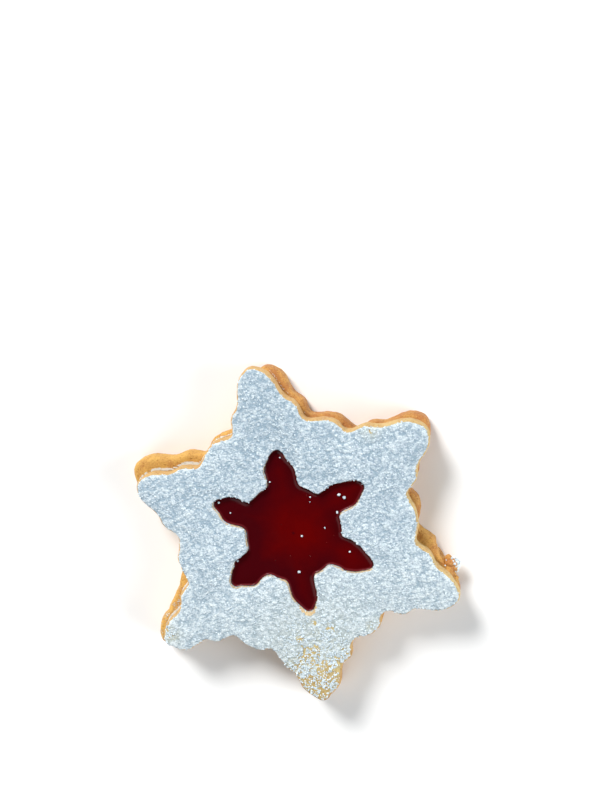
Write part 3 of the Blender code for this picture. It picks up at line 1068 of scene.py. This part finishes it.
def icing_sugar(dust):
    """The dusting: painted brighter on its ridges, and with dough showing through where it is thin."""
    material, nodes, shader = finish("icing sugar", IOR=1.4)
    # Painted light and shade from the mesh, each dome's own tone, and a drift to brighter towards -Y.
    painted_light_and_tone = nodes.total(
        nodes.sum(nodes.times(nodes.measured("painted_light_and_tone"), 0.25), 0.405),
        nodes.times(nodes.measured("shade"), 0.30),
        nodes.times(nodes.at("Y"), -0.0038 / MM),
    )
    snow = placed(nodes, dust, Cover=0.5, Lift=painted_light_and_tone)
    between = nodes.share(painted_light_and_tone, 0.80, 0.25)
    showing = nodes.times(nodes.measured("thin"), nodes.sum(0.12, nodes.times(between, 0.75)))
    showing = nodes.total(showing, nodes.times(nodes.along("Y", 0, -35), 0.10))
    link(nodes, nodes.mix(showing, snow["Colour"], FACE_THROUGH_SNOW), shader, "Base Color")
    link(nodes, nodes.share(snow["Height"], -2.0, 1.0), shader, "Roughness")
    bumped(nodes, shader, snow["Height"], 0.35)
    return material


def sugar_grains(dust):
    """Loose grains, each of its own brightness."""
    material, nodes, shader = finish("sugar grains", IOR=1.4)
    # Each grain's own tone, set on the scale from painted shade to painted light.
    painted_light_and_tone = nodes.sum(nodes.times(nodes.measured("shade"), 0.5), 0.6)
    snow = placed(nodes, dust, Cover=0.5, Lift=painted_light_and_tone)
    link(nodes, snow["Colour"], shader, "Base Color")
    link(nodes, nodes.share(snow["Height"], -1.4, 1.0), shader, "Roughness")
    bumped(nodes, shader, snow["Height"], 0.06)
    return material


def red_jam():
    """Dark clear jam, painted lighter in the middle of the pool, with a painted reflection where it is
    drawn up the wall.
    """
    material, nodes, shader = finish("red jam", IOR=1.38, Specular_IOR_Level=0.16)
    cloud = nodes.noise(7.0)
    fruit = nodes.noise(1.6, detail=3.0, rough=0.6)
    lit = nodes.total(
        nodes.share(nodes.measured("from_wall"), 1.0, 8.0),
        nodes.times(nodes.at("X"), 0.03 / MM),
        nodes.swing(cloud, 0.9),
        nodes.swing(fruit, 0.3),
    )
    colour = nodes.mix(nodes.share(lit, 0.0, 1.0), JAM_DEEP, JAM_LIT)
    # A painted reflection where the jam is drawn up the wall, on slopes that face +Y.
    meniscus_reflection = nodes.share(nodes.measured("from_wall"), 0.50, 0.10)
    meniscus_reflection = nodes.times(meniscus_reflection, nodes.share(nodes.facing()["Y"], -0.30, 0.45))
    link(nodes, nodes.mix(meniscus_reflection, colour, JAM_REFLECTION), shader, "Base Color")
    link(nodes, nodes.share(fruit, -0.3, 5.0), shader, "Roughness")
    bumped(nodes, shader, cloud, 0.05)
    return material


# ---- The object -------------------------------------------------------------

def dress(piece, material, slot, *nodes):
    """Gives a piece its finish, and says which solids it stands for."""
    piece.data.materials.append(material)
    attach(piece, "root")
    if nodes:
        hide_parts(*nodes)


crumb_effect = make_crumb_effect()
dust_effect = make_dust_effect()
biscuit_finish = baked_shortbread(crumb_effect, dust_effect)
dusted_finish = dusted_shortbread(crumb_effect, dust_effect)
grain_finish = sugar_grains(dust_effect)

dress(make_lower(), biscuit_finish, "shortbread", "bottom_biscuit")
upper_piece, crust = make_upper()
dress(upper_piece, dusted_finish, "dusted_shortbread", "top_biscuit")
sugar_piece, sugar_rings, bare = make_sugar(crust)
dress(sugar_piece, icing_sugar(dust_effect), "dusted_shortbread")
jam_finish = red_jam()
dress(make_jam(), jam_finish, "jam", "jam")
dress(make_bubbles(), jam_finish, "jam")
dress(make_loose_sugar(sugar_rings, bare), grain_finish, "dusted_shortbread")
burr, burr_sugar = make_burr()
dress(burr, biscuit_finish, "shortbread")
dress(burr_sugar, grain_finish, "dusted_shortbread")


# ---- Floor, light and camera ------------------------------------------------

# Lengths are in metres from here on.
FLOOR_HALF = 3.0
SUN_WHITE = (1.0, 0.99, 0.97)
SKY_WHITE = (0.95, 0.98, 1.0)


def make_floor():
    mesh = bpy.data.meshes.new("floor")
    corners = [(x * FLOOR_HALF, y * FLOOR_HALF, 0) for x, y in ((-1, -1), (1, -1), (1, 1), (-1, 1))]
    mesh.from_pydata(corners, [], [(0, 1, 2, 3)])
    floor = bpy.data.objects.new("floor", mesh)
    bpy.context.scene.collection.objects.link(floor)
    material, nodes, shader = finish("pale floor", Roughness=0.9)
    tone = nodes.mix(nodes.noise(60.0), rgb(0.90, 0.90, 0.90), rgb(0.92, 0.92, 0.92))
    link(nodes, tone, shader, "Base Color")
    mesh.materials.append(material)


def lamp(name, bearing, elevation, distance, size, power, colour):
    """A round soft lamp that looks at the object from a bearing and an elevation."""
    light = bpy.data.lights.new(name, "AREA")
    light.shape = "DISK"
    light.size = size
    light.energy = power
    light.color = colour
    lamp_object = bpy.data.objects.new(name, light)
    bearing, elevation = math.radians(bearing), math.radians(elevation)
    flat = math.cos(elevation)
    towards = Vector((math.sin(bearing) * flat, math.cos(bearing) * flat, math.sin(elevation)))
    lamp_object.location = towards * distance
    lamp_object.rotation_euler = towards.to_track_quat("Z", "Y").to_euler()
    bpy.context.scene.collection.objects.link(lamp_object)


def make_world(strength, colour):
    world = bpy.data.worlds.new("studio")
    world.use_nodes = True
    background = world.node_tree.nodes["Background"]
    background.inputs["Color"].default_value = colour
    background.inputs["Strength"].default_value = strength
    bpy.context.scene.world = world


def make_camera():
    data = bpy.data.cameras.new("camera")
    data.lens = 67.5
    data.sensor_width = 36.0
    data.clip_start = 0.01
    camera = bpy.data.objects.new("camera", data)
    camera.rotation_mode = "YXZ"
    camera.rotation_euler = [math.radians(angle) for angle in (-8.627, 6.096, -11.24)]
    camera.location = (0.05432, 0.07382, 0.3446)
    bpy.context.scene.collection.objects.link(camera)
    bpy.context.scene.camera = camera


make_floor()
lamp("key", -19.0, 38.0, 1.8, 0.70, 39.0, SUN_WHITE)
lamp("fill_right", 111.0, 25.0, 1.0, 0.8, 9.0, SKY_WHITE)
lamp("fill_left", 231.0, 42.0, 1.0, 0.8, 3.4, SKY_WHITE)
make_world(0.08, rgb(0.9, 0.95, 1.0))
make_camera()
bpy.context.scene.view_settings.view_transform = "Standard"
